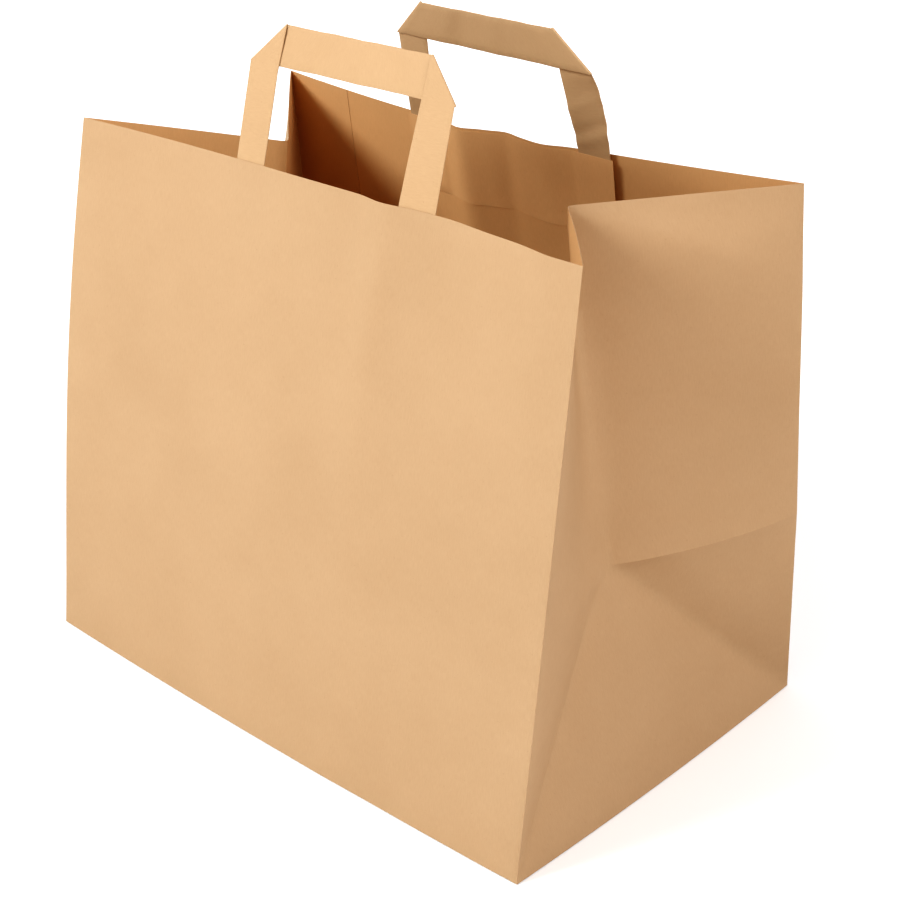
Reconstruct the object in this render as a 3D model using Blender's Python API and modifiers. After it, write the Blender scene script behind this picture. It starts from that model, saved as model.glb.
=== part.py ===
"""Paper carrier bag with two flat tape handles, standing open on its block bottom.

Metres, +Z up. The origin is at the centre of the base, on the surface the bag stands on.
The front face looks to -Y and the gussets look to -X and +X.
The bag is one folded sheet, so each wall point is found from where it lies on the flat
sheet: how far across its panel, and how high above the bottom fold.
"""

import math

import bpy
from mathutils import Vector

# The folded sheet
WIDTH = 0.320  # front and back panels, along X
DEPTH = 0.210  # gusset panels, along Y
HEIGHT = 0.270  # bottom fold to mouth, measured on the paper
PAPER = 0.00015  # one layer of kraft paper

# How far each corner fold has leant at the mouth: inwards along Y, and along X
MOUTH_LEAN = {"front_left": 0.0418, "front_right": 0.0340, "back_right": 0.0296, "back_left": 0.0351}
MOUTH_SHIFT = {"front_left": -0.0010, "front_right": -0.0025, "back_right": 0.0014, "back_left": 0.0039}

# How far the middle of each gusset is tucked in, at the mouth and at the low apex
MOUTH_TUCK = {"left": 0.0787, "right": 0.0711}
MOUTH_CREASE_Y = {"left": -0.0011, "right": 0.0048}
APEX_TUCK = {"left": 0.0410, "right": 0.0367}
TUCK_SAG = 0.0050  # between the two the middle fold bends in further
CORNER_BULGE = {"front_left": 0.0026, "front_right": 0.0004, "back_right": 0.0, "back_left": 0.0010}  # at mid height

# The back panel still remembers the crease where the base was folded flat against it
CREASE_OUT = 0.0030  # along X, at each back corner fold
CREASE_IN = 0.0015  # along Y, across the back panel

# The panels bow in at the mouth and out a little along the bottom folds
FRONT_BOW = 0.0100
BACK_BOW = 0.0160
FRONT_BOW_POWER = 3.0
BACK_BOW_POWER = 1.6
BOTTOM_BOW = 0.0030
GUSSET_BOTTOM_BOW = 0.0020

# Soft dents in the mouth edge: where along X, how wide, how deep inwards
FRONT_DENTS = ((0.041, 0.011, -0.0035), (0.076, 0.018, 0.0032), (0.143, 0.014, -0.0050))
BACK_DENTS = ((-0.020, 0.009, 0.0035), (0.006, 0.008, -0.0024), (0.031, 0.010, 0.0020))
DENT_REACH = 0.070  # how far below the stiff patch a dent fades out

# The long glued seam of the tube, on the back panel
SEAM_FROM_CORNER = 0.050  # inner flap's edge to the back left fold
SEAM_OVERLAP = 0.024
SEAM_STEP = 0.0003  # width of the step at a flap's edge

# The glued flaps of the block bottom
BOTTOM_OVERLAP = 0.030
FLAP_INSET = 0.0008  # a flap's edge to the bottom fold beside it
FLAP_STEP = 0.0012  # the groove behind the overlapping flap's edge

# The handles and the patches that glue them to the walls
TAPE_WIDTH = 0.0185
TAPE_THICKNESS = 0.0005
HANDLE_SPAN = 0.1245  # outside of one leg to outside of the other
HANDLE_RISE = 0.0625  # mouth edge to the top of the bar, along the handle
HANDLE_SHIFT = 0.0065  # the handles' middle, from the bag's middle
HANDLE_SWAY = {"front": -0.0030, "back": 0.0015}  # sideways, at the bar
HANDLE_PINCH = {"front": 0.0, "back": 0.0045}  # each leg's top, inwards
HANDLE_LEAN = math.radians(19.3)  # from upright, towards the middle of the bag
LEAN_LENGTH = 0.024  # how far above the mouth the handle takes to reach that lean
CORNER_GAP = 0.0004  # between the two layers at a folded corner
PATCH_HEIGHT = 0.040
PATCH_THICKNESS = 0.00025
PATCH_MARGIN = 0.0015  # past the outside of each leg
PATCH_BELOW_MOUTH = 0.0015
LEG_END_INSET = 0.003  # the leg ends this far above the patch's lower edge
GLUE_GAP = 0.0003  # between glued pieces
LOOSE_LEG_LIFT = 0.0030  # the right leg of the back handle has lifted off the wall

# How finely the sheet is divided
GUSSET_CELLS = 6
UPPER_ROWS = 5
PATCH_ROWS = 2
FACE_CELLS = 20
BEND_STEPS = 5
PATCH_RAMP = 0.002  # where the patch steps up onto a leg

KRAFT = (0.80, 0.50, 0.27, 1.0)
KRAFT_TAPE = (0.82, 0.53, 0.29, 1.0)
KRAFT_PATCH = (0.74, 0.45, 0.23, 1.0)

HALF_GUSSET = DEPTH / 2
BASE_LEVEL = PAPER  # the glued flaps lie under the base
FACE_SHAPES = {
    "front": (1, FRONT_BOW, FRONT_BOW_POWER, FRONT_DENTS),
    "back": (-1, BACK_BOW, BACK_BOW_POWER, BACK_DENTS),
}
CORNER_SIGNS = {"front_left": (-1, -1), "front_right": (1, -1), "back_right": (1, 1), "back_left": (-1, 1)}


def smooth(t):
    """Eases from 0 to 1."""
    t = max(0.0, min(1.0, t))
    return t * t * (3 - 2 * t)


# Where the folds run


def base_corner(corner):
    sx, sy = CORNER_SIGNS[corner]
    return Vector((sx * WIDTH / 2, sy * DEPTH / 2, BASE_LEVEL))


def mouth_corner(corner):
    """The corner fold keeps its length as it leans."""
    sy = CORNER_SIGNS[corner][1]
    lean, shift = MOUTH_LEAN[corner], MOUTH_SHIFT[corner]
    rise = math.sqrt(HEIGHT**2 - lean**2 - shift**2)
    return base_corner(corner) + Vector((shift, -sy * lean, rise))


def corner_fold(corner, v):
    """The point of a corner fold that lies v above the bottom fold, on the paper."""
    start, end = base_corner(corner), mouth_corner(corner)
    point = start.lerp(end, v / HEIGHT)
    sx, sy = CORNER_SIGNS[corner]
    bulge = CORNER_BULGE[corner] * math.sin(math.pi * (v / HEIGHT) ** 1.2)
    point += Vector((sx * bulge, sy * bulge, 0))
    if sy > 0:
        kink = crease_share(v)
        point += Vector((sx * CREASE_OUT * kink, -CREASE_IN * kink, 0))
    return point


def crease_share(v):
    """1 at the back panel's crease, fading to 0 at the bottom fold and at the mouth."""
    if v < HALF_GUSSET:
        return v / HALF_GUSSET
    return (HEIGHT - v) / (HEIGHT - HALF_GUSSET)


def apex(side):
    """Where the gusset's diagonal folds meet: as far from both bottom corners as on the flat sheet."""
    sx = -1 if side == "left" else 1
    tuck = APEX_TUCK[side]
    rise = math.sqrt(HALF_GUSSET**2 - tuck**2)
    return Vector((sx * (WIDTH / 2 - tuck), 0, BASE_LEVEL + rise))


def mouth_crease(side):
    """The top of the gusset's middle fold, a fold's length above the apex."""
    sx = -1 if side == "left" else 1
    low = apex(side)
    x, y = sx * (WIDTH / 2 - MOUTH_TUCK[side]), MOUTH_CREASE_Y[side]
    length = HEIGHT - HALF_GUSSET
    length -= 8 * TUCK_SAG**2 / (3 * length)
    rise = math.sqrt(length**2 - (x - low.x) ** 2 - (y - low.y) ** 2)
    return Vector((x, y, low.z + rise))


# Where the panels' points lie


def patch_foot():
    """How high on the sheet the patch's lower edge is."""
    return HEIGHT - PATCH_BELOW_MOUTH - PATCH_HEIGHT


def dents(table, x, v):
    depth = sum(deep * math.exp(-(((x - place) / wide) ** 2)) for place, wide, deep in table)
    return depth * math.exp(-max(0.0, patch_foot() - v) / DENT_REACH)


def face_point(face, a, v):
    """A point of the front or back panel: a across from its left fold, v above the bottom fold."""
    share = a / WIDTH
    point = corner_fold(face + "_left", v).lerp(corner_fold(face + "_right", v), share)
    inwards, bow, power, table = FACE_SHAPES[face]
    across = 1 - abs(2 * share - 1) ** power
    up = v / HEIGHT
    shift = bow * across * up**1.5
    shift -= BOTTOM_BOW * (1 - (2 * share - 1) ** 2) * (1 - up) ** 2
    ends = 1 - (2 * share - 1) ** 6
    shift += ends * dents(table, point.x, v)
    lean = DEPTH / 2 - abs(point.y)
    point.y += inwards * shift
    if v > 0:
        point.z -= shift * (2 * lean + shift) / (2 * v)
    return point


def gusset_point(side, a, v):
    """A point of a gusset: a back from its front fold, v above the bottom fold."""
    from_fold = min(a, DEPTH - a)
    near = "front_" if a <= HALF_GUSSET else "back_"
    fold = corner_fold(near + side, v)
    peak = apex(side)
    if v >= HALF_GUSSET:
        up = (v - HALF_GUSSET) / (HEIGHT - HALF_GUSSET)
        middle = peak.lerp(mouth_crease(side), up)
        middle.x -= math.copysign(TUCK_SAG * 4 * up * (1 - up), peak.x)
        return fold.lerp(middle, from_fold / HALF_GUSSET)
    climb = v / HALF_GUSSET
    if from_fold < v:
        diagonal = base_corner(near + side).lerp(peak, climb)
        return fold.lerp(diagonal, from_fold / v)
    front = base_corner("front_" + side).lerp(peak, climb)
    back = base_corner("back_" + side).lerp(peak, climb)
    share = (a - v) / (DEPTH - 2 * v) if v < HALF_GUSSET else 0.5
    point = front.lerp(back, share)
    sx = -1 if side == "left" else 1
    point.x += sx * GUSSET_BOTTOM_BOW * (1 - (2 * share - 1) ** 2) * (1 - climb) ** 2
    return point


def wall_point(panel, a, v):
    if panel in ("front", "back"):
        return face_point(panel, a, v)
    return gusset_point(panel, a, v)


# Blender helpers


def clear_scene():
    for old in list(bpy.data.objects):
        bpy.data.objects.remove(old)


def new_collection(name):
    made = bpy.data.collections.new(name)
    bpy.context.scene.collection.children.link(made)
    return made


def paper_material(name, colour):
    material = bpy.data.materials.new(name)
    material.use_nodes = True
    shader = material.node_tree.nodes["Principled BSDF"]
    shader.inputs["Base Color"].default_value = colour
    shader.inputs["Roughness"].default_value = 0.8
    shader.inputs["Metallic"].default_value = 0.0
    return material


def mesh_object(name, points, faces, collection, material=None):
    mesh = bpy.data.meshes.new(name)
    mesh.from_pydata(points, [], faces)
    made = bpy.data.objects.new(name, mesh)
    collection.objects.link(made)
    if material:
        mesh.materials.append(material)
    return made


def solidify(obj, thickness, offset):
    wall = obj.modifiers.new("Thickness", "SOLIDIFY")
    wall.thickness = thickness
    wall.offset = offset
    wall.use_even_offset = True
    wall.use_rim = True
    return wall


# The bag: one folded sheet


def seam_stations():
    """Distances from the back left fold where the wall changes between one and two layers."""
    inner = SEAM_FROM_CORNER
    outer = SEAM_FROM_CORNER - SEAM_OVERLAP
    return outer, outer + SEAM_STEP, inner, inner + SEAM_STEP


def leg_edges():
    """X of the handle legs' edges, left to right."""
    left, right = HANDLE_SHIFT - HANDLE_SPAN / 2, HANDLE_SHIFT + HANDLE_SPAN / 2
    return [left, left + TAPE_WIDTH, right - TAPE_WIDTH, right]


def across_at_mouth(face, x):
    """How far across the panel a place along X lies, at the mouth."""
    left, right = mouth_corner(face + "_left").x, mouth_corner(face + "_right").x
    return WIDTH * (x - left) / (right - left)


def face_stations(face):
    """A face's columns, left to right. The legs' edges, and on the back the seam's, are among them."""
    fixed = [across_at_mouth(face, x) for x in leg_edges()]
    legs = (fixed[0:2], fixed[2:4])
    if face == "back":
        fixed = list(seam_stations()) + fixed
    clear = WIDTH / FACE_CELLS / 3
    plain = [WIDTH * i / FACE_CELLS for i in range(1, FACE_CELLS)]
    plain = [a for a in plain if min(abs(a - b) for b in fixed) > clear]
    plain = [a for a in plain if not any(low < a < high for low, high in legs)]
    return [0.0] + sorted(plain + fixed) + [WIDTH]


def columns():
    """Every column of the wall, once round from the front left fold: panel, distance across."""
    cell = HALF_GUSSET / GUSSET_CELLS
    ring = [("front", a) for a in face_stations("front")[:-1]]
    ring += [("right", k * cell) for k in range(2 * GUSSET_CELLS)]
    ring += [("back", a) for a in reversed(face_stations("back")[1:])]
    ring += [("left", DEPTH - k * cell) for k in range(2 * GUSSET_CELLS)]
    return ring


def row_heights():
    cell = HALF_GUSSET / GUSSET_CELLS
    lower = [j * cell for j in range(GUSSET_CELLS)]
    foot = patch_foot()
    upper = [HALF_GUSSET + (foot - HALF_GUSSET) * j / UPPER_ROWS for j in range(UPPER_ROWS)]
    return lower + upper + [foot + (HEIGHT - foot) * j / PATCH_ROWS for j in range(PATCH_ROWS + 1)]


def sheet_point(panel, a, v):
    """A wall point on the sheet's outer side. Left of the seam the sheet is the layer inside."""
    point = wall_point(panel, a, v)
    seam_edge = seam_stations()[0]
    if panel == "back" and 0 < a <= seam_edge:
        point.y -= PAPER * a / seam_edge
    return point


def on_rising_diagonal(panel, a):
    """Whether a gusset cell is split the way its diagonal fold climbs, going round the ring."""
    half_cell = HALF_GUSSET / GUSSET_CELLS / 2
    if panel == "right":
        return a + half_cell < HALF_GUSSET
    return a - half_cell > HALF_GUSSET


def wall_faces(ring, n_rows):
    count = len(ring)
    faces = [tuple(reversed(range(count)))]
    for j in range(n_rows - 1):
        for i, (panel, a) in enumerate(ring):
            k = (i + 1) % count
            low, low_next = j * count + i, j * count + k
            high, high_next = low + count, low_next + count
            if panel in ("front", "back"):
                faces.append((low, low_next, high_next, high))
            elif on_rising_diagonal(panel, a):
                faces += [(low, low_next, high_next), (low, high_next, high)]
            else:
                faces += [(low, low_next, high), (low_next, high_next, high)]
    return faces


def make_bag(collection, material):
    """The tube and its base, open at the mouth, with the seam's overlap two layers thick."""
    ring, rows = columns(), row_heights()
    points = [sheet_point(panel, a, v) for v in rows for panel, a in ring]
    bag = mesh_object("bag_body", points, wall_faces(ring, len(rows)), collection, material)
    overlap = bag.vertex_groups.new(name="overlap")
    seam = seam_stations()
    doubled = [i for i, (panel, a) in enumerate(ring) if panel == "back" and seam[1] <= a <= seam[2]]
    overlap.add([j * len(ring) + i for j in range(len(rows)) for i in doubled], 1.0, "REPLACE")
    wall = solidify(bag, 2 * PAPER, -1)
    wall.vertex_group = overlap.name
    wall.thickness_vertex_group = 0.5
    return bag


def flap_outline(face, end):
    """A long flap of the base: along its bottom fold, then sloping in at 45 degrees to its edge at Y = end."""
    inwards = FACE_SHAPES[face][0]
    along = []
    for a in face_stations(face):
        point = face_point(face, a, 0.0)
        point.x -= math.copysign(min(abs(point.x), 2 * FLAP_INSET), point.x) * (a in (0.0, WIDTH))
        along.append((point.x, point.y + inwards * FLAP_INSET))
    length = abs(end - along[0][1])
    right, left = along[-1][0] - length, along[0][0] + length
    outline = along + [(right, end), (left, end)]
    return outline if face == "front" else outline[::-1]


def make_flap(name, outline, collection):
    """A flap as a thin plate, which reaches half a layer into the base."""
    count = len(outline)
    points = [(x, y, z) for z in (0.0, BASE_LEVEL + PAPER / 2) for x, y in outline]
    faces = [tuple(reversed(range(count))), tuple(range(count, 2 * count))]
    faces += [(i, (i + 1) % count, (i + 1) % count + count, i + count) for i in range(count)]
    flap = mesh_object(name, points, faces, collection)
    flap.hide_render = True
    flap.display_type = "WIRE"
    return flap


def join_flaps(bag, collection):
    """The front flap overlaps the back one, so its edge is past the middle, and the back one shows behind it."""
    front_end = BOTTOM_OVERLAP / 2
    flaps = [
        make_flap("front_flap", flap_outline("front", front_end), collection),
        make_flap("back_flap", flap_outline("back", front_end + FLAP_STEP), collection),
    ]
    for flap in flaps:
        join = bag.modifiers.new(flap.name, "BOOLEAN")
        join.operation = "UNION"
        join.solver = "EXACT"
        join.object = flap


# Handles and patches


def handle_frame(face):
    """Where a handle's plane stands: a point on the mouth edge and the way the handle leans."""
    inwards = FACE_SHAPES[face][0]
    middle = face_point(face, WIDTH / 2 + HANDLE_SHIFT, HEIGHT)
    up = Vector((0, inwards * math.sin(HANDLE_LEAN), math.cos(HANDLE_LEAN)))
    return middle, up


def facet_point(face, x, v):
    """The wall's outer side at X = x, on the straight facet between two columns, and the facet's normal."""
    row = [sheet_point(face, a, v) for a in face_stations(face)]
    i = max(k for k in range(len(row) - 1) if k == 0 or row[k].x <= x)
    along = row[i + 1] - row[i]
    point = row[i] + along * ((x - row[i].x) / along.x)
    step = 0.001 if v < HEIGHT / 2 else -0.001
    a = face_stations(face)[i]
    up = (sheet_point(face, a, v + step) - row[i]) / step
    inner = up.cross(along).normalized() * FACE_SHAPES[face][0]
    return point, inner


def on_wall(face, x, v, standoff):
    """A point at X = x, v up the sheet, standoff in from the wall's inner side."""
    point, inner = facet_point(face, x, v)
    return point + inner * (PAPER + standoff)


def handle_point(face, x, h, standoff):
    """A point of a handle: at X = x, and h above the mouth edge along the tape."""
    if h <= 0:
        return on_wall(face, x, HEIGHT + h, standoff)
    foot = on_wall(face, x, HEIGHT, standoff)
    below = on_wall(face, x, HEIGHT - 0.01, standoff)
    straight = foot + (foot - below).normalized() * h
    middle, up = handle_frame(face)
    leant = Vector((x, middle.y, middle.z)) + up * h
    leant.y += FACE_SHAPES[face][0] * (PAPER + standoff)
    return straight.lerp(leant, smooth(h / LEAN_LENGTH))


def at_bar(face, x):
    """Where a place on a leg has moved to at the bar, as the handle sways and its legs draw in."""
    side = -1 if x < HANDLE_SHIFT else 1
    return x + HANDLE_SWAY[face] - side * HANDLE_PINCH[face]


def leg_rungs(face, outer_x, inner_x, layer, lift):
    """Pairs of points up one leg, outer edge then inner, ending on the corner's fold line."""
    bottom = PATCH_BELOW_MOUTH + PATCH_HEIGHT - LEG_END_INSET
    top = HANDLE_RISE - TAPE_WIDTH
    heights = [-bottom + bottom * i / 4 for i in range(4)]
    heights += [top * i / 6 for i in range(6)]
    rungs = []
    move = at_bar(face, outer_x) - outer_x
    for h in heights:
        loose = lift * (1 - smooth((h - top / 3) / (top / 2)))
        moved = move * max(0.0, h / top)
        outer = handle_point(face, outer_x + moved, h, layer + loose)
        rungs.append((outer, handle_point(face, inner_x + moved, h, layer)))
    outer = handle_point(face, outer_x + move, top, layer)
    rungs.append((outer, handle_point(face, inner_x + move, HANDLE_RISE, layer)))
    return rungs


def turn_rungs(rung, next_rung):
    """The half turn of the tape over its 45 degree fold line, from one layer to the other."""
    outer_a, outer_b = rung[0], next_rung[0]
    inner_a, inner_b = rung[1], next_rung[1]
    fold = (inner_a - outer_a).normalized()
    across = (outer_b - outer_a).normalized()
    away = fold.cross(across).normalized()
    if away.z < 0:
        away = -away
    made = []
    for i in range(1, BEND_STEPS):
        angle = math.pi * i / BEND_STEPS
        pair = []
        for a, b in ((outer_a, outer_b), (inner_a, inner_b)):
            radius = (b - a).length / 2
            centre = (a + b) / 2
            round_it = away * math.sin(angle) - (b - a).normalized() * math.cos(angle)
            pair.append(centre + round_it * radius)
        made.append(tuple(pair))
    return made


def make_handle(name, face, collection, material, lift=0.0):
    """A flat tape, folded over at two corners so that the bar lies behind the legs."""
    left_out, left_in, right_in, right_out = leg_edges()
    low, high = HANDLE_RISE - TAPE_WIDTH, HANDLE_RISE
    legs = GLUE_GAP + TAPE_THICKNESS / 2
    bar = legs + TAPE_THICKNESS + CORNER_GAP
    first = leg_rungs(face, left_out, left_in, legs, 0.0)
    last = leg_rungs(face, right_out, right_in, legs, lift)[::-1]
    bar_start, bar_end = (
        (handle_point(face, at_bar(face, out), low, bar), handle_point(face, at_bar(face, inner), high, bar))
        for out, inner in ((left_out, left_in), (right_out, right_in))
    )
    rungs = first + turn_rungs(first[-1], bar_start) + [bar_start]
    rungs += [bar_end] + turn_rungs(last[0], bar_end)[::-1] + last
    points = [p for rung in rungs for p in rung]
    faces = [(2 * i, 2 * i + 1, 2 * i + 3, 2 * i + 2) for i in range(len(rungs) - 1)]
    handle = mesh_object(name, points, faces, collection, material)
    solidify(handle, TAPE_THICKNESS, 0)
    return handle


def patch_standoff(x, lift):
    """How far in from the wall the patch lies: on the wall between the legs, and over each leg."""
    side = abs(x - HANDLE_SHIFT)
    leg_in = HANDLE_SPAN / 2 - TAPE_WIDTH
    rise = (GLUE_GAP + TAPE_THICKNESS) * smooth((side - leg_in + PATCH_RAMP) / PATCH_RAMP)
    if x > HANDLE_SHIFT:
        rise += lift * max(0.0, (side - leg_in) / TAPE_WIDTH)
    return GLUE_GAP + PATCH_THICKNESS / 2 + rise


def patch_stations(face):
    """X of the patch's columns: its ends, the legs' edges, the steps onto the legs, and the wall's columns."""
    left_out, left_in, right_in, right_out = leg_edges()
    places = [left_out - PATCH_MARGIN, left_out, left_in, right_in, right_out, right_out + PATCH_MARGIN]
    places += [left_in + PATCH_RAMP / 2, left_in + PATCH_RAMP, right_in - PATCH_RAMP / 2, right_in - PATCH_RAMP]
    between = [face_point(face, a, HEIGHT).x for a in face_stations(face)]
    places += [x for x in between if left_in + 2 * PATCH_RAMP < x < right_in - 2 * PATCH_RAMP]
    return sorted(places)


def make_patch(name, face, collection, material, lift=0.0):
    """The strip of paper glued over both legs, just below the mouth."""
    across = patch_stations(face)
    downs = [PATCH_BELOW_MOUTH + PATCH_HEIGHT * i / 4 for i in range(5)]
    points = [on_wall(face, x, HEIGHT - down, patch_standoff(x, lift)) for down in downs for x in across]
    count = len(across)
    faces = [
        (j * count + i, j * count + i + 1, (j + 1) * count + i + 1, (j + 1) * count + i)
        for j in range(len(downs) - 1)
        for i in range(count - 1)
    ]
    patch = mesh_object(name, points, faces, collection, material)
    solidify(patch, PATCH_THICKNESS, 0)
    return patch


def main():
    clear_scene()
    parts = new_collection("paper_carrier_bag")
    helpers = new_collection("flaps_to_join")
    kraft = paper_material("kraft_paper", KRAFT)
    tape = paper_material("kraft_tape", KRAFT_TAPE)
    patch = paper_material("kraft_patch", KRAFT_PATCH)
    bag = make_bag(parts, kraft)
    join_flaps(bag, helpers)
    make_handle("front_handle", "front", parts, tape)
    make_handle("back_handle", "back", parts, tape, LOOSE_LEG_LIFT)
    make_patch("front_handle_patch", "front", parts, patch)
    make_patch("back_handle_patch", "back", parts, patch, LOOSE_LEG_LIFT)


main()
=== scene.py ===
import math

import bpy
import numpy as np
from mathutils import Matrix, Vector


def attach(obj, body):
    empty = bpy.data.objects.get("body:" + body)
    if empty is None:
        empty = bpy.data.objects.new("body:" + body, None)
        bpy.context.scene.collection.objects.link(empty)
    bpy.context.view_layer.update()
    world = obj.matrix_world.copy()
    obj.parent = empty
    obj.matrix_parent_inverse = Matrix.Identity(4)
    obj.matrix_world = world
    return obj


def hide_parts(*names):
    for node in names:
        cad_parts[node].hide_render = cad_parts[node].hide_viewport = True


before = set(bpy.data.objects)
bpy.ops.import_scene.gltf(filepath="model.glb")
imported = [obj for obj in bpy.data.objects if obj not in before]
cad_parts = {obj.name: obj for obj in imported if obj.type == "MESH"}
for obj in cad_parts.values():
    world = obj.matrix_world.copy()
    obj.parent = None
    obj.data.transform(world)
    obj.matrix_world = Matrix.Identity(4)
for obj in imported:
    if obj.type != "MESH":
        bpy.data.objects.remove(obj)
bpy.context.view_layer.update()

# Everything is in metres. A place on the paper is given on the flat sheet: a is how far across
# its panel it lies (from the left fold on the front and back, from the front fold on a gusset), v
# is how far above the bottom fold.

bag = {
    "width": 0.320,
    "depth": 0.210,
    "height": 0.270,
    "paper": 0.00015,  # one layer
    # how far each corner leans in at the mouth, and how far it lies to the right there
    "mouthLean": {
        "front_left": 0.0418,
        "front_right": 0.0340,
        "back_right": 0.0296,
        "back_left": 0.0351,
    },
    "mouthShift": {
        "front_left": -0.0010,
        "front_right": -0.0025,
        "back_right": 0.0014,
        "back_left": 0.0039,
    },
    # the gusset's middle fold: how far in it lies at the mouth and at its low apex
    "mouthTuck": {"left": 0.0787, "right": 0.0711},
    "mouthCreaseY": {"left": -0.0011, "right": 0.0048},
    "apexTuck": {"left": 0.0410, "right": 0.0367},
    "tuckSag": 0.0050,  # it bends in by this much more between the two
    "cornerBulge": {
        "front_left": 0.0026,
        "front_right": 0.0004,
        "back_right": 0.0,
        "back_left": 0.0010,
    },
    "bulgePower": 1.2,  # above 1 the bulge is fullest above the middle
    "creaseOut": 0.0030,  # kink of the back folds where the level crease crosses them
    "creaseIn": 0.0015,
    "backCrease": 0.0022,  # how far the back panel is pressed in along that crease
    "backCreaseReach": 0.016,
    "bow": {"front": 0.0100, "back": 0.0160},  # inwards at the mouth
    "bowPower": {"front": 3.0, "back": 1.6},
    "bowRise": 1.5,  # above 1 it comes in late, towards the mouth
    "bottomBow": 0.0030,  # outwards at the bottom
    "gussetBottomBow": 0.0020,
    "patchFoot": 0.2285,  # the stiff patch starts here
    "dentReach": 0.070,
    "calmFoot": {"face": 0.02, "gusset": 0.03},  # the swells fade out over this above the bottom
    "foldRadius": 0.0006,
}

# Soft dents along the mouth: where along X, how wide, how deep inwards
mouthDents = {
    "front": ((0.041, 0.011, -0.0035), (0.076, 0.018, 0.0032), (0.143, 0.014, -0.0050)),
    "back": ((-0.020, 0.009, 0.0035), (0.006, 0.008, -0.0024), (0.031, 0.010, 0.0020)),
}

# Soft swells of the panels: a, v, half length, half width, turn in degrees, height outwards
swells = {
    "front": (
        (0.105, 0.165, 0.150, 0.050, -32, 0.0016),
        (0.150, 0.050, 0.120, 0.030, -28, -0.0014),
        (0.030, 0.110, 0.060, 0.025, 60, -0.0010),
        (0.290, 0.140, 0.110, 0.022, 88, 0.0012),
        (0.205, 0.192, 0.022, 0.007, 50, -0.0004),
        (0.217, 0.172, 0.022, 0.007, 38, 0.0004),
        (0.188, 0.250, 0.030, 0.016, 90, -0.0008),
        (0.231, 0.240, 0.028, 0.008, 80, 0.0006),
        (0.138, 0.232, 0.030, 0.006, 84, 0.0005),
        (0.120, 0.008, 0.140, 0.010, 0, 0.0006),
        (0.240, 0.030, 0.110, 0.014, -12, 0.0010),
    ),
    "back": (
        (0.110, 0.180, 0.110, 0.045, 24, 0.0014),
        (0.240, 0.060, 0.100, 0.040, -20, 0.0012),
        (0.060, 0.060, 0.060, 0.030, 40, -0.0010),
        (0.250, 0.190, 0.080, 0.030, -35, -0.0008),
    ),
    "right": (
        (0.150, 0.150, 0.050, 0.020, 10, 0.0012),
        (0.165, 0.215, 0.070, 0.025, 5, -0.0014),
        (0.150, 0.262, 0.090, 0.010, 0, -0.0012),
        (0.050, 0.180, 0.060, 0.020, 80, 0.0006),
        (0.180, 0.060, 0.030, 0.015, 30, 0.0005),
    ),
    "left": (
        (0.150, 0.150, 0.050, 0.020, -10, 0.0012),
        (0.060, 0.200, 0.060, 0.022, 20, -0.0010),
        (0.160, 0.240, 0.060, 0.018, 0, -0.0010),
    ),
}

# Which way along X and Y each corner lies
cornerSigns = {
    "front_left": (-1, -1),
    "front_right": (1, -1),
    "back_right": (1, 1),
    "back_left": (-1, 1),
}
inwardsOf = {"front": 1, "back": -1}  # the way into the bag, along Y
halfGusset = bag["depth"] / 2
baseLevel = bag["paper"]


def smooth(t):
    t = np.clip(t, 0.0, 1.0)
    return t * t * (3 - 2 * t)


# 1 at the level crease, falling to 0 at the bottom fold and at the mouth
def creaseShare(v):
    below = v / halfGusset
    above = (bag["height"] - v) / (bag["height"] - halfGusset)
    return np.where(v < halfGusset, below, above)


def baseCorner(corner):
    sx, sy = cornerSigns[corner]
    return np.array([sx * bag["width"] / 2, sy * bag["depth"] / 2, baseLevel])


# The fold at one corner of the bag, from the base to the mouth
def cornerFold(corner, v):
    sx, sy = cornerSigns[corner]
    lean, shift = bag["mouthLean"][corner], bag["mouthShift"][corner]
    rise = math.sqrt(bag["height"] ** 2 - lean**2 - shift**2)
    up = (v / bag["height"])[:, None]
    point = baseCorner(corner) + np.array([shift, -sy * lean, rise]) * up
    arch = np.sin(math.pi * np.clip(up[:, 0], 0, 1) ** bag["bulgePower"])
    bulge = bag["cornerBulge"][corner] * arch
    point[:, 0] += sx * bulge
    point[:, 1] += sy * bulge
    if sy > 0:
        kink = creaseShare(v)
        point[:, 0] += sx * bag["creaseOut"] * kink
        point[:, 1] -= bag["creaseIn"] * kink
    return point


def apexOf(side):
    sx = -1 if side == "left" else 1
    tuck = bag["apexTuck"][side]
    rise = math.sqrt(halfGusset**2 - tuck**2)
    return np.array([sx * (bag["width"] / 2 - tuck), 0, baseLevel + rise])


# The middle fold's point at the mouth, as high as the paper's length and its sag allow
def mouthCrease(side):
    sx = -1 if side == "left" else 1
    low = apexOf(side)
    x, y = sx * (bag["width"] / 2 - bag["mouthTuck"][side]), bag["mouthCreaseY"][side]
    length = bag["height"] - halfGusset
    length -= 8 * bag["tuckSag"] ** 2 / (3 * length)
    return np.array([x, y, low[2] + math.sqrt(length**2 - (x - low[0]) ** 2 - (y - low[1]) ** 2)])


def swellHeight(panel, a, v):
    total = np.zeros(len(a))
    for atA, atV, long, wide, turn, height in swells[panel]:
        c, s = math.cos(math.radians(turn)), math.sin(math.radians(turn))
        along = (a - atA) * c + (v - atV) * s
        across = (v - atV) * c - (a - atA) * s
        total += height * np.exp(-((along / long) ** 2) - (across / wide) ** 2)
    return total


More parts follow.
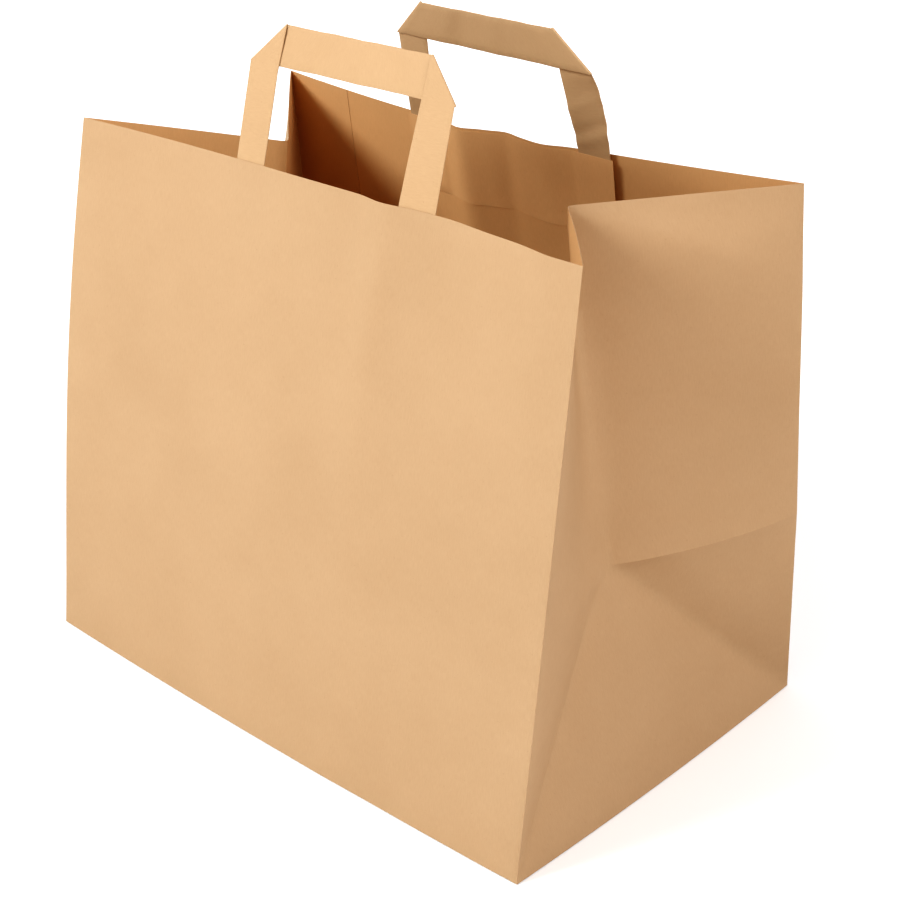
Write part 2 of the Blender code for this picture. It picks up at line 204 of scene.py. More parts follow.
def facePoint(face, a, v):
    share = (a / bag["width"])[:, None]
    point = cornerFold(face + "_left", v) * (1 - share) + cornerFold(face + "_right", v) * share
    share = share[:, 0]
    up = np.clip(v / bag["height"], 0, 1)
    bowed = 1 - np.abs(2 * share - 1) ** bag["bowPower"][face]
    bottomBow = bag["bottomBow"] * (1 - (2 * share - 1) ** 2)
    shift = bag["bow"][face] * bowed * up ** bag["bowRise"]
    shift -= bottomBow * (1 - up) ** 2
    ends = 1 - (2 * share - 1) ** 6  # 0 at the folds, so that they keep their line
    for place, wide, deep in mouthDents[face]:
        fade = np.exp(-np.maximum(0.0, bag["patchFoot"] - v) / bag["dentReach"])
        shift += ends * deep * np.exp(-(((point[:, 0] - place) / wide) ** 2)) * fade
    shift -= ends * smooth(v / bag["calmFoot"]["face"]) * swellHeight(face, a, v)
    if face == "back":
        fromCrease = np.abs(v - halfGusset) / bag["backCreaseReach"]
        shift += ends * bag["backCrease"] * np.exp(-fromCrease)
    lean = halfGusset - np.abs(point[:, 1])
    point[:, 1] += inwardsOf[face] * shift
    grown = shift + bottomBow  # since the bottom fold
    high = v > 0
    # the panel keeps its length
    point[high, 2] -= (grown * (2 * lean + grown))[high] / (2 * v[high])
    return point


# The gusset's middle fold, as shares of the way from apex to mouth
middleFold = {
    "tight": 0.0006,  # how far the paper rounds it off at the apex
    "softer": 0.0115,  # and how much further where it is softest
    "softBy": 0.25,
    "tightenFrom": 0.45,
    "tightened": 0.75,  # share of that which is gone at the mouth
}


# How far on each side of the gusset's middle fold the paper rounds it off
def creaseSoftness(v):
    up = (v - halfGusset) / (bag["height"] - halfGusset)
    late = (up - middleFold["tightenFrom"]) / (1 - middleFold["tightenFrom"])
    softer = smooth(up / middleFold["softBy"]) * (1 - middleFold["tightened"] * smooth(late))
    return middleFold["tight"] + middleFold["softer"] * softer


gussetShape = {
    "bendAtFold": 0.222,  # where the mouth's turned band starts, at the back fold
    "bendClimb": 0.96,  # how much of the way to the mouth it climbs by the middle fold
    # how far out the paper stands where that band starts, and at the mouth's edge
    "bendOut": {"left": 0.0044, "right": 0.0076},
    "mouthOut": {"left": 0.0010, "right": 0.0002},
    "ridgeOut": {"left": 0.0042, "right": 0.0062},  # along the level crease
    "ridgeAbove": 0.024,  # how far the paper still bends, above that crease and below it
    "ridgeBelow": 0.017,
    "ridgeEnd": 0.030,  # it dies out over this much beside the diagonal fold
    "diagonalIn": {"left": 0.0012, "right": 0.0016},  # the diagonal folds are pressed in
    "diagonalReach": 0.010,
    "frontOut": {"left": 0.0020, "right": 0.0008},  # the front half, towards the mouth
    "frontFrom": 0.15,
    "frontOver": 0.12,
    # the strip beside the front fold sinks in, around the apex's height
    "stripIn": {"left": 0.00144, "right": 0.00312},
    "stripAt": 0.115,
    "stripReach": 0.060,
}


# How far the gusset's paper stands out from its flat facets
def gussetRelief(side, a, v):
    g = gussetShape
    back = np.clip((bag["depth"] - a) / halfGusset, 0, 1)  # 0 at the back fold, 1 at the middle one
    belly = np.where(a > halfGusset, 4 * back * (1 - back), 0)
    bend = g["bendAtFold"] + (bag["height"] - g["bendAtFold"]) * back**0.8 * g["bendClimb"]
    above = np.clip((v - bend) / (bag["height"] - bend), 0, 1)
    below = smooth((v - halfGusset) / (bend - halfGusset))
    turned = g["bendOut"][side] * (1 - above) + g["mouthOut"][side] * above
    out = belly**0.6 * np.where(v > bend, turned, g["bendOut"][side] * below)
    away = v - halfGusset
    fade = np.exp(-np.abs(away) / np.where(away > 0, g["ridgeAbove"], g["ridgeBelow"]))
    beside = smooth((v - (bag["depth"] - a)) / g["ridgeEnd"])
    out += g["ridgeOut"][side] * belly**0.8 * fade * np.where(away < 0, beside, 1)
    fromDiagonal = np.minimum(np.abs(a - v), np.abs(bag["depth"] - a - v)) * 0.707  # square to it
    ends = np.clip(4 * (v / halfGusset) * (1 - v / halfGusset), 0, 1)
    pressed = np.exp(-fromDiagonal / g["diagonalReach"]) * ends * (v < halfGusset)
    out -= g["diagonalIn"][side] * pressed
    front = np.clip(a / halfGusset, 0, 1)  # 0 at the front fold, 1 at the middle one
    arch = np.where(a < halfGusset, 4 * front * (1 - front), 0)
    out += arch * g["frontOut"][side] * smooth((v - g["frontFrom"]) / g["frontOver"])
    strip = np.exp(-(((v - g["stripAt"]) / g["stripReach"]) ** 2))
    strip *= np.clip(front / 0.9, 0, 1) * np.clip(4 * (1 - front), 0, 1)
    out -= np.where((a < halfGusset) & (a < v), strip, 0) * g["stripIn"][side]
    return out


def gussetPoint(side, a, v):
    sx = -1 if side == "left" else 1
    peak, top = apexOf(side), mouthCrease(side)
    folds = {near: cornerFold(near + "_" + side, v) for near in ("front", "back")}
    fromMiddle = a - halfGusset
    # above the apex: two flat halves that meet in a rounded fold
    up = np.clip((v - halfGusset) / (bag["height"] - halfGusset), 0, 1)[:, None]
    middle = peak * (1 - up) + top * up
    middle[:, 0] -= sx * bag["tuckSag"] * 4 * (up * (1 - up))[:, 0]
    soft = creaseSoftness(np.maximum(v, halfGusset))
    near = np.abs(fromMiddle) < soft
    forward = np.where(near, (soft - fromMiddle) ** 2 / (4 * soft), np.maximum(-fromMiddle, 0))
    backward = np.where(near, (soft + fromMiddle) ** 2 / (4 * soft), np.maximum(fromMiddle, 0))
    upper = middle + (folds["front"] - middle) * (forward / halfGusset)[:, None]
    upper += (folds["back"] - middle) * (backward / halfGusset)[:, None]
    # below it: a triangle on the base between two diagonal folds, and a triangle beside each
    # corner fold
    climb = np.clip(v / halfGusset, 0, 1)[:, None]
    diagonals = {}
    for near in folds:
        diagonals[near] = baseCorner(near + "_" + side) * (1 - climb) + peak * climb
    width = np.maximum(bag["depth"] - 2 * v, 1e-9)
    share = np.clip((a - v) / width, 0, 1)
    lower = diagonals["front"] * (1 - share)[:, None] + diagonals["back"] * share[:, None]
    bowed = (1 - (2 * share - 1) ** 2) * (1 - climb[:, 0]) ** 2
    lower[:, 0] += sx * bag["gussetBottomBow"] * bowed
    for near, fromFold in (("front", a), ("back", bag["depth"] - a)):
        beside = fromFold < v
        t = (fromFold / np.maximum(v, 1e-9))[:, None]
        lower = np.where(beside[:, None], folds[near] * (1 - t) + diagonals[near] * t, lower)
    point = np.where((v >= halfGusset)[:, None], upper, lower)
    calm = 1 - np.abs(2 * a / bag["depth"] - 1) ** 6
    point[:, 0] += sx * swellHeight(side, a, v) * calm * smooth(v / bag["calmFoot"]["gusset"])
    point[:, 0] += sx * gussetRelief(side, a, v)
    return point


def wallPoint(panel, a, v):
    if panel in inwardsOf:
        return facePoint(panel, a, v)
    return gussetPoint(panel, a, v)


# The sheet

# How finely it is cut up: columns across each panel and rows up the wall
squares = {"gusset": 64, "front": 96, "back": 88, "toApex": 32, "toMouth": 50}

seam = {
    "outerEdge": 0.026,  # from the back left fold
    "innerEdge": 0.050,
    "columns": (7, 8),  # from the inner edge to the outer one, and from there to the fold
    "columnWidth": (0.0032, 0.00325),
    "lap": 1.15,  # the inner edge lies this many layers behind the outer one
}

flaps = {
    "overlap": 0.030,  # of the front one and the back one
    "gussetReach": 0.120,
    "rows": 30,
    "layer": {"front": 0, "back": 1, "left": 2, "right": 2},  # from below
    "settle": 8,  # they lie in their layer after one part in this many
    "gap": 0.00001,  # lift of every layer
    "narrower": 0.004,  # share that the gussets' flaps lose, to clear the corner folds
}


# A new piece of paper, with its places on the flat sheet as its uv map
def newPaper(name, points, faces, places, uvName):
    mesh = bpy.data.meshes.new(name)
    mesh.from_pydata(points, [], faces)
    loops = np.zeros(len(mesh.loops), dtype=np.int32)
    mesh.loops.foreach_get("vertex_index", loops)
    flat = mesh.uv_layers.new(name=uvName)
    flat.data.foreach_set("uv", np.array(places)[loops].astype(np.float32).ravel())
    mesh.polygons.foreach_set("use_smooth", np.ones(len(mesh.polygons), dtype=bool))
    paper = bpy.data.objects.new(name, mesh)
    bpy.context.scene.collection.objects.link(paper)
    return paper


# Gives it its thickness, to one side of the points (offset -1) or around them (0)
def thicken(paper, thickness, offset):
    wall = paper.modifiers.new("thickness", "SOLIDIFY")
    wall.thickness = thickness
    wall.offset = offset


# Folds steeper than this stay crisp
def crispen(paper, degrees):
    sharpen = paper.modifiers.new("crisp folds", "EDGE_SPLIT")
    sharpen.split_angle = math.radians(degrees)


# Even columns across a panel, with one more close to each fold
def evenColumns(length, count):
    edge = bag["foldRadius"]
    return [0.0, edge] + [length * i / count for i in range(1, count)] + [length - edge, length]


# Every column of the open sheet, from the seam's inner edge once round to its outer edge: the
# panel, how far across it, and how far along the flat sheet
def sheetColumns():
    edge = bag["foldRadius"]
    lapped = [seam["innerEdge"] - seam["columnWidth"][0] * i for i in range(seam["columns"][0])]
    lapped += [seam["outerEdge"] - seam["columnWidth"][1] * i for i in range(seam["columns"][1])]
    span = bag["width"] - seam["outerEdge"]
    back = [bag["width"], bag["width"] - edge]
    back += [bag["width"] - span * i / squares["back"] for i in range(1, squares["back"] + 1)]
    gusset = evenColumns(bag["depth"], squares["gusset"])
    panels = (
        ("back", lapped + [edge, 0.0]),
        ("left", gusset[::-1]),
        ("front", evenColumns(bag["width"], squares["front"])),
        ("right", gusset),
        ("back", back),
    )
    columns = []
    u = 0.0
    for panel, stations in panels:
        if columns:
            columns.pop()  # the fold itself belongs to the next panel
        for i, a in enumerate(stations):
            if i:
                u += abs(a - stations[i - 1])
            columns.append((panel, a, u))
    return columns


def sheetRows():
    low = [halfGusset * j / squares["toApex"] for j in range(1, squares["toApex"] + 1)]
    high = bag["height"] - halfGusset
    top = [halfGusset + high * j / squares["toMouth"] for j in range(1, squares["toMouth"] + 1)]
    return [0.0, bag["foldRadius"]] + low + top


# Points of the wall, row by row, with the sheet's left end lying inside its right end
def wallGrid(columns, rows):
    grid = np.zeros((len(rows), len(columns), 3))
    v = np.array(rows)
    laps = seam["lap"] * bag["paper"]
    for k, (panel, a, _) in enumerate(columns):
        grid[:, k] = wallPoint(panel, np.full(len(v), a), v)
        if panel == "back" and k < len(columns) / 2:
            grid[:, k, 1] -= laps * min(1.0, a / seam["outerEdge"])
    return grid


# Draws each fold in a little, so that it has a radius
def roundFolds(grid, columns):
    narrow = 0.001  # only the columns at a fold are closer than this
    for k in range(1, len(columns) - 1):
        before, after = columns[k][2] - columns[k - 1][2], columns[k + 1][2] - columns[k][2]
        if before < narrow and after < narrow:
            grid[:, k] = grid[:, k] * 0.5 + (grid[:, k - 1] + grid[:, k + 1]) * 0.25
    return grid


# A point of a bottom flap, t of the way from the bottom fold to the flap's edge, and its flat place
def flapPoint(name, start, u, t):
    ease = min(1.0, t * flaps["settle"])
    z = baseLevel * (1 - ease) + flaps["layer"][name] * bag["paper"] * ease + flaps["gap"]
    if name in inwardsOf:
        reach = (halfGusset + flaps["overlap"] / 2) * t
        y = start[1] * (1 - t) + inwardsOf[name] * flaps["overlap"] / 2 * t
        return (start[0] * (1 - reach / (bag["width"] / 2)), y, z), (u, -reach)
    sx = -1 if name == "left" else 1
    x = start[0] * (1 - t) + sx * (bag["width"] / 2 - flaps["gussetReach"]) * t
    y = start[1] * (1 - flaps["narrower"] * ease)
    return (x, y, z), (u, -flaps["gussetReach"] * t)


# The bottom flaps hang on the wall's lowest row: the gussets' inside, the back one under them and
# the front one under that
def addFlaps(points, faces, places, columns):
    across = len(columns)
    panels = [c[0] for c in columns]
    folds = [k for k in range(1, across) if panels[k] != panels[k - 1]]
    leftStart, frontStart, rightStart, backStart = folds
    runs = {
        "left": list(range(leftStart, frontStart + 1)),
        "front": list(range(frontStart, rightStart + 1)),
        "right": list(range(rightStart, backStart + 1)),
        "back": list(range(backStart, across)) + [leftStart],
    }
    for name, run in runs.items():
        last = run
        for j in range(1, flaps["rows"] + 1):
            made = []
            for k in run:
                point, flat = flapPoint(name, points[k], places[k][0], j / flaps["rows"])
                made.append(len(points))
                points.append(point)
                places.append(flat)
            for i in range(len(run) - 1):
                faces.append((last[i], made[i], made[i + 1], last[i + 1]))
            last = made


# Marks the creases that the bag was pressed flat along as sharp edges
def markFolds(mesh, places):
    u, v = places[:, 0], places[:, 1]
    ends = np.zeros(len(mesh.edges) * 2, dtype=np.int32)
    mesh.edges.foreach_get("vertices", ends)
    ends = ends.reshape(-1, 2)
    near = 1e-5
    leftMiddle = seam["innerEdge"] + halfGusset
    rightMiddle = leftMiddle + bag["depth"] + bag["width"]

    def along(inside):
        return inside[ends[:, 0]] & inside[ends[:, 1]]

    backHalf = (u < leftMiddle + near) | (u > rightMiddle - near)
    sharp = along((np.abs(v - halfGusset) < near) & backHalf)
    low = (v > -near) & (v < halfGusset + near)
    for middle in (leftMiddle, rightMiddle):
        sharp |= along((np.abs(np.abs(u - middle) - (halfGusset - v)) < near) & low)
    sharp |= along(np.abs(v) < near)
    mesh.edges.foreach_set("use_edge_sharp", sharp)


def buildBag():
    columns, rows = sheetColumns(), sheetRows()
    grid = roundFolds(wallGrid(columns, rows), columns)
    across = len(columns)
    points = [tuple(p) for p in grid.reshape(-1, 3)]
    places = [(c[2], v) for v in rows for c in columns]
    faces = []
    for j in range(len(rows) - 1):
        for i in range(across - 1):
            low = j * across + i
            faces.append((low, low + 1, low + 1 + across, low + across))
    addFlaps(points, faces, places, columns)
    sheet = newPaper("bagSheet", points, faces, places, "flatSheet")
    markFolds(sheet.data, np.array(places))
    thicken(sheet, bag["paper"], -1)
    crispen(sheet, 50)
    return sheet


# The handles

handle = {
    "tapeWidth": 0.0185,
    "tapeThickness": 0.0005,
    "span": 0.1245,  # outside of one leg to outside of the other
    "rise": 0.0625,  # mouth to the top of the bar, along the tape
    "shift": 0.0065,  # the handle's middle, from the bag's middle
    "sway": {"front": -0.0030, "back": 0.0015},  # of the bar, sideways
    "pinch": {"front": 0.0, "back": 0.0045},  # of each leg's top, inwards
    "lean": math.radians(19.3),
    # how far the outer and the inner corner of each end of the bar lie from a square fold, along
    # and up
    "cornerMove": {
        "front": {-1: (0.0, 0.0, 0.0, 0.0), 1: (0.0, 0.0, 0.0, 0.0)},
        "back": {-1: (0.0006, 0.0006, 0.0034, 0.0010), 1: (0.0024, -0.0016, 0.0034, 0.0)},
    },
    "cornerGap": 0.0004,  # between the two layers at a corner
    "turnSteps": 8,
    "barWave": 0.00035,  # slight waves along the bar
    "barWaves": ((19, 1, 1.0), (43, 0, 0.6)),  # how fast, where they start and their share
    "barSteps": 24,
    "legBelowMouth": 0.0385,
    "legSteps": (14, 18),  # below the mouth and above it
    "glueGap": 0.00012,
    # the back handle's right leg has come loose at its outer edge
    "looseLift": 0.0024,
    "twist": 0.0032,  # that edge hangs back by this much halfway up
    # its wrinkles: how far up, how far out, how wide, and how much lower they run at the inner edge
    "wrinkles": ((0.030, -0.0005, 0.0026), (0.017, 0.0006, 0.0028), (0.011, -0.0005, 0.0024)),
    "wrinkleSlant": 0.009,
}


def panelShare(face, x, v):
    vs = np.array([v])
    left, right = cornerFold(face + "_left", vs)[0], cornerFold(face + "_right", vs)[0]
    return (x - left[0]) / (right[0] - left[0])


def outerWall(face, x, v):
    return facePoint(face, np.array([panelShare(face, x, v) * bag["width"]]), np.array([v]))[0]


# A point inside the wall, standoff off its inner side
def onWall(face, x, v, standoff):
    step = 0.001
    top = min(v + step, bag["height"])
    up = outerWall(face, x, top) - outerWall(face, x, top - 2 * step)
    along = outerWall(face, x + step, v) - outerWall(face, x - step, v)
    inner = np.cross(up, along) * inwardsOf[face]
    inner /= np.linalg.norm(inner)
    return outerWall(face, x, v) + inner * (bag["paper"] + standoff)


# The way up along the leaning handle
def leanWay(face):
    return np.array([0, inwardsOf[face] * math.sin(handle["lean"]), math.cos(handle["lean"])])


# A point of a handle, h above the mouth: its legs run straight from the mouth to the bar's corners
def handlePoint(face, x, h, standoff):
    if h <= 0:
        return onWall(face, x, bag["height"] + h, standoff)
    low = handle["rise"] - handle["tapeWidth"]
    middleA = np.array([bag["width"] / 2 + handle["shift"]])
    middle = facePoint(face, middleA, np.array([bag["height"]]))[0]
    leant = np.array([x, middle[1], middle[2]])
    leant += leanWay(face) * max(h, low)
    leant[1] += inwardsOf[face] * (bag["paper"] + standoff)
    foot = onWall(face, x, bag["height"], standoff)
    t = min(1.0, h / low)
    return foot * (1 - t) + leant * t


def sideOf(x):
    return -1 if x < handle["shift"] else 1


def atBar(face, x):
    return x + handle["sway"][face] - sideOf(x) * handle["pinch"][face]


tapeEdge = 0.014  # share of the width that the rounded edge takes up on each side
acrossTape = [tapeEdge + (1 - 2 * tapeEdge) * i / 6 for i in range(7)]


def spread(pair):
    return [pair[0] * (1 - t) + pair[1] * t for t in acrossTape]


# The corner's fold line, from the leg's outer edge to its inner one
def cornerPair(face, outerX, innerX, layer):
    outerAlong, outerUp, innerAlong, innerUp = handle["cornerMove"][face][sideOf(outerX)]
    low, high = handle["rise"] - handle["tapeWidth"], handle["rise"]
    outer = handlePoint(face, atBar(face, outerX) + outerAlong, low, layer)
    inner = handlePoint(face, atBar(face, innerX) + innerAlong, high, layer)
    return outer + leanWay(face) * outerUp, inner + leanWay(face) * innerUp


# Rows of points up a leg, ending on the corner's fold line
def legStations(face, outerX, innerX, layer, lift):
    below = handle["legBelowMouth"]
    under, over = handle["legSteps"]
    end = cornerPair(face, outerX, innerX, layer)
    outerUp = handle["cornerMove"][face][sideOf(outerX)][1]
    top = handle["rise"] - handle["tapeWidth"] + min(0.0, outerUp)
    heights = [-below + below * i / under for i in range(under)]
    heights += [top * i / over for i in range(over)]
    move = end[0][0] - outerX
    stations = []
    for h in heights:
        up = max(0.0, h / top)
        loose = lift * (1 - float(smooth((h - top / 3) / (top / 2))))
        row = []
        for t in acrossTape:
            x = outerX * (1 - t) + innerX * t + move * up
            point = handlePoint(face, x, h, layer + loose * (1 - t))
            if lift:
                swing = 4 * up * (1 - up)
                point[1] += handle["twist"] * (1 - t) * swing
                for at, height, wide in handle["wrinkles"]:
                    away = (h + handle["wrinkleSlant"] * t - at) / wide
                    point[1] += height * math.exp(-(away**2)) * min(1.0, 2 * swing)
            row.append(point)
        stations.append(row)
    stations.append(end)
    return stations


# The half turn of the tape over its fold line, from one layer to the other
def turnStations(lowPair, highPair):
    fold = lowPair[1] - lowPair[0]
    across = highPair[0] - lowPair[0]
    away = np.cross(fold, across)
    away /= np.linalg.norm(away)
    if away[2] < 0:
        away = -away
    made = []
    for i in range(1, handle["turnSteps"]):
        angle = math.pi * i / handle["turnSteps"]
        pair = []
        for a, b in zip(lowPair, highPair):
            radius = np.linalg.norm(b - a) / 2
            way = away * math.sin(angle) - (b - a) / (2 * radius) * math.cos(angle)
            pair.append((a + b) / 2 + way * radius)
        made.append(tuple(pair))
    return made


# Once round the tape's section: which point across it, how far past that, and share of half its
# thickness
def tapeSection():
    bevel = tapeEdge * 0.7
    near = [(i, 0.0, 1.0) for i in range(7)]
    far = [(i, 0.0, -1.0) for i in range(7)][::-1]
    innerEdge = [(6, bevel, 0.7), (6, tapeEdge, 0.0), (6, bevel, -0.7)]
    outerEdge = [(0, -bevel, -0.7), (0, -tapeEdge, 0.0), (0, -bevel, 0.7)]
    return near + innerEdge + far + outerEdge


def loftTape(name, stations, thickness):
    section = tapeSection()
    count = len(section)
    points, faces, places = [], [], []
    run = 0.0
    stations = [row if len(row) == len(acrossTape) else spread(row) for row in stations]
    for k, row in enumerate(stations):
        before = stations[max(0, k - 1)]
        after = stations[min(len(stations) - 1, k + 1)]
        width = np.linalg.norm(row[6] - row[0])
        if k:
            run += np.linalg.norm(row[3] - stations[k - 1][3])
        for i, past, out in section:
            across = row[min(6, i + 1)] - row[max(0, i - 1)]
            across /= np.linalg.norm(across)
            normal = np.cross(after[i] - before[i], across)
            normal /= np.linalg.norm(normal)
            points.append(tuple(row[i] + across * past * width + normal * out * thickness / 2))
            places.append((run, acrossTape[i] * width))
    for k in range(len(stations) - 1):
        here, there = k * count, (k + 1) * count
        for i in range(count):
            j = (i + 1) % count
            faces.append((here + i, here + j, there + j, there + i))
    faces.append(tuple(range(count))[::-1])
    faces.append(tuple((len(stations) - 1) * count + i for i in range(count)))
    tape = newPaper(name, points, faces, places, "flatTape")
    crispen(tape, 50)
    return tape


def buildHandle(name, face, lift):
    left, right = handle["shift"] - handle["span"] / 2, handle["shift"] + handle["span"] / 2
    width = handle["tapeWidth"]
    legs = handle["glueGap"] + handle["tapeThickness"] / 2
    bar = legs + handle["tapeThickness"] + handle["cornerGap"]
    first = legStations(face, left, left + width, legs, 0.0)
    last = legStations(face, right, right - width, legs, lift)[::-1]
    ends = [
        cornerPair(face, left, left + width, bar),
        cornerPair(face, right, right - width, bar),
    ]
    between = []
    for i in range(1, handle["barSteps"]):
        t = i / handle["barSteps"]
        wave = sum(share * math.sin(fast * t + start) for fast, start, share in handle["barWaves"])
        wave = np.array([0, handle["barWave"] * wave * min(1.0, 8 * t * (1 - t)), 0])
        between.append(tuple(ends[0][k] * (1 - t) + ends[1][k] * t + wave for k in (0, 1)))
    stations = first + turnStations(first[-1], ends[0]) + [ends[0]] + between + [ends[1]]
    stations += turnStations(last[0], ends[1])[::-1] + last
    return loftTape(name, stations, handle["tapeThickness"])


# The patches

patch = {
    "height": 0.040,
    "belowMouth": 0.0015,
    "margin": 0.0015,  # past the outside of each leg
    "thickness": 0.00012,
    "glueGap": 0.00003,
    "ramp": 0.0040,  # where it steps up onto a leg
    "pastLeg": 0.0002,
    "endRamp": 0.0022,  # where it comes down past the legs' ends
    "across": 120,
    "down": 14,
}


def patchStandoff(x, down, lift):
    side = abs(x - handle["shift"])
    pastEnd = (down - handle["legBelowMouth"] - patch["pastLeg"]) / patch["endRamp"]
    above = 1 - float(smooth(pastEnd))
    legInside = handle["span"] / 2 - handle["tapeWidth"]
    over = smooth((side - legInside + patch["ramp"]) / patch["ramp"])
    rise = (handle["glueGap"] + handle["tapeThickness"]) * float(over) * above
    if x > handle["shift"]:
        rise += lift * max(0.0, (side - legInside) / handle["tapeWidth"]) * above
    return patch["glueGap"] + patch["thickness"] / 2 + rise


def buildPatch(name, face, lift):
    half = handle["span"] / 2 + patch["margin"]
    across, rows = patch["across"], patch["down"]
    xs = [handle["shift"] - half + 2 * half * i / across for i in range(across + 1)]
    downs = [patch["belowMouth"] + patch["height"] * j / rows for j in range(rows + 1)]
    points, places, faces = [], [], []
    for down in downs:
        for x in xs:
            standoff = patchStandoff(x, down, lift)
            points.append(tuple(onWall(face, x, bag["height"] - down, standoff)))
            places.append((x, down))
    for j in range(rows):
        for i in range(across):
            low = j * len(xs) + i
            faces.append((low, low + 1, low + 1 + len(xs), low + len(xs)))
    strip = newPaper(name, points, faces, places, "flatPatch")
    thicken(strip, patch["thickness"], 0)
    crispen(strip, 40)
    return strip


# Kraft paper

kraft = {
    "light": (0.512, 0.329, 0.188),
    "dark": (0.436, 0.270, 0.147),
    "toneRange": (0.30, 0.70),
    "fleck": (0.300, 0.165, 0.080),
    "fleckRange": (0.66, 0.80),
    "fleckShare": 0.35,
    "roughness": 0.78,
    "shine": 0.30,
    "fibreBump": 0.10,
    "bumpHeight": 0.0003,
    # scale, detail and roughness of each noise
    "clouds": (22, 6, 0.74),  # in the pulp, a few centimetres across
    "mottles": (9, 2, 0.5),  # broader, where the sheet was damp or handled
    "fibres": (1, 5, 0.65),
    "fibreStretch": (1600, 260, 1),  # they are drawn out along the web
    "flecks": (900, 2, 0.5),  # a few darker fibres
    "mottleShare": 0.45,  # the rest is clouds
    "fibreShare": 0.42,  # the rest is clouds and mottles
    "through": 0.10,  # share of the light that enters the paper
    "throughColour": (0.90, 0.58, 0.30, 1.0),
    "outsideTint": (1.0, 1.0, 1.0),
    "insidePaintedBounceTint": (1.38, 1.22, 1.01),  # the inner side, which light gets to only by the mouth: painted brighter and redder than the outside, as painted bounce light
    "tapeTint": (0.98, 0.96, 0.92),
    # the patches inside the walls: painted brighter and redder, as painted bounce light
    "patchPaintedBounceTint": (1.36, 1.20, 1.00),
}


def nodeMaker(material):
    tree = material.node_tree

    def make(kind, **values):
        node = tree.nodes.new(kind)
        for key, value in values.items():
            setattr(node, key, value)
        return node

    def join(start, out, end, into):
        tree.links.new(start.outputs[out], end.inputs[into])

    return make, join


def tinted(colour, tint):
    return tuple(c * t for c, t in zip(colour, tint)) + (1.0,)


def kraftMaterial(name, uvName, tint, through=0.0):
    material = bpy.data.materials.new(name)
    material.use_nodes = True
    make, join = nodeMaker(material)

    def noise(kind, where):
        scale, detail, roughness = kraft[kind]
        node = make("ShaderNodeTexNoise")
        node.inputs["Scale"].default_value = scale
        node.inputs["Detail"].default_value = detail
        node.inputs["Roughness"].default_value = roughness
        join(where, 0, node, "Vector")
        return node

    shader = material.node_tree.nodes["Principled BSDF"]
    shader.inputs["Roughness"].default_value = kraft["roughness"]
    shader.inputs["Specular IOR Level"].default_value = kraft["shine"]
    place = make("ShaderNodeUVMap", uv_map=uvName)
    stretch = make("ShaderNodeMapping")
    stretch.inputs["Scale"].default_value = kraft["fibreStretch"]
    join(place, 0, stretch, "Vector")
    # clouds and mottles, then fibres, make up the tone
    pulp = make("ShaderNodeMix", data_type="FLOAT")
    pulp.inputs["Factor"].default_value = kraft["mottleShare"]
    join(noise("clouds", place), "Fac", pulp, 2)
    join(noise("mottles", place), "Fac", pulp, 3)
    tone = make("ShaderNodeMix", data_type="FLOAT")
    tone.inputs["Factor"].default_value = kraft["fibreShare"]
    join(pulp, 0, tone, 2)
    join(noise("fibres", stretch), "Fac", tone, 3)
    ramp = make("ShaderNodeValToRGB")
    low, high = ramp.color_ramp.elements
    low.position, high.position = kraft["toneRange"]
    low.color = tinted(kraft["dark"], tint)
    high.color = tinted(kraft["light"], tint)
    join(tone, 0, ramp, 0)
    # the flecks lie over it
    pick = make("ShaderNodeMapRange")
    pick.inputs["From Min"].default_value = kraft["fleckRange"][0]
    pick.inputs["From Max"].default_value = kraft["fleckRange"][1]
    join(noise("flecks", place), "Fac", pick, "Value")
    soften = make("ShaderNodeMath", operation="MULTIPLY")
    soften.inputs[1].default_value = kraft["fleckShare"]
    join(pick, 0, soften, 0)
    blend = make("ShaderNodeMix", data_type="RGBA")
    blend.inputs[7].default_value = tinted(kraft["fleck"], tint)
    join(soften, 0, blend, "Factor")
    join(ramp, 0, blend, 6)
    join(blend, 2, shader, "Base Color")
    bump = make("ShaderNodeBump")
    bump.inputs["Strength"].default_value = kraft["fibreBump"]
    bump.inputs["Distance"].default_value = kraft["bumpHeight"]
    join(tone, 0, bump, "Height")
    join(bump, 0, shader, "Normal")
    if through:
        glow = make("ShaderNodeBsdfTranslucent")
        glow.inputs["Color"].default_value = kraft["throughColour"]
        both = make("ShaderNodeMixShader")
        both.inputs[0].default_value = through
        join(shader, 0, both, 1)
        join(glow, 0, both, 2)
        join(both, 0, material.node_tree.nodes["Material Output"], "Surface")
    return material


# Floor, light and camera

studio = {
    "floorColour": (0.98, 0.965, 0.95, 1.0),
    "floorRoughness": 0.9,
    "floorShine": 0.1,
    "floorSize": 120.0,
    "floorDrop": 0.0004,  # below the bag, so that the two don't touch
    "farGlow": 0.55,  # the ground further off is lit from below as well
    "glowFrom": 0.45,
    "glowTo": 1.6,
    "keyPower": 71.0,
    "keyColour": (0.90, 0.98, 1.0),
    "keySize": 0.98,
    "keyDistance": 2.70,
    "keyWay": (0.371, 0.742, -0.585),  # the way its light travels
    "fillPower": 20.0,
    "fillColour": (1.0, 1.0, 1.0),
    "fillSize": 1.0,
    "fillDistance": 1.9,
    "fillWay": (-0.62, -0.04, -0.76),
    "aim": (0.0, 0.0, 0.15),
    "skyLow": (0.50, 0.50, 0.50, 1.0),  # the light from the sides
    "skyHigh": (0.80, 0.81, 0.85, 1.0),  # and from above
    "toe": 0.11,  # how much the darks deepen
    "toneAt": (0.02, 0.05, 0.1, 0.2, 0.35, 0.6),  # where the curve gets its points
}

photoCamera = {
    "lens": 69.56,
    "sensor": 36.0,
    "at": (0.53814, -0.55733, 0.48474),
    "way": (-0.61209, 0.66415, -0.42924),  # the way it looks
}


def pointAlong(thing, way):
    thing.rotation_euler = Vector(way).to_track_quat("-Z", "Y").to_euler()


